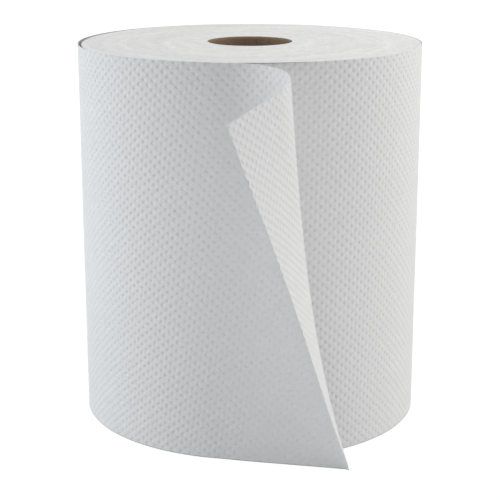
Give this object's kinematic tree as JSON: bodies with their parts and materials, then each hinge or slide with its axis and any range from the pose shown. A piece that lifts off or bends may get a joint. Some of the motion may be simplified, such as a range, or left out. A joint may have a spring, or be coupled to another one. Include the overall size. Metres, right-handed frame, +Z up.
{
  "type": "paper towel roll",
  "caption": "Upright roll of white embossed paper towel wound on a paperboard core, its free end leaving the front and curling forward.",
  "frame": {"origin": "centre of the core's bore at the lower end of the roll", "axes": "+Z up along the roll's axis, -Y towards the front where the free end leaves, +X to the right seen from the front"},
  "size_m": [0.1848, 0.2774, 0.203],
  "materials": {
    "core": "matte",
    "towel": "matte"
  },
  "bodies": {
    "root": {"core": "core", "towel": "towel"}
  },
  "joints": []
}
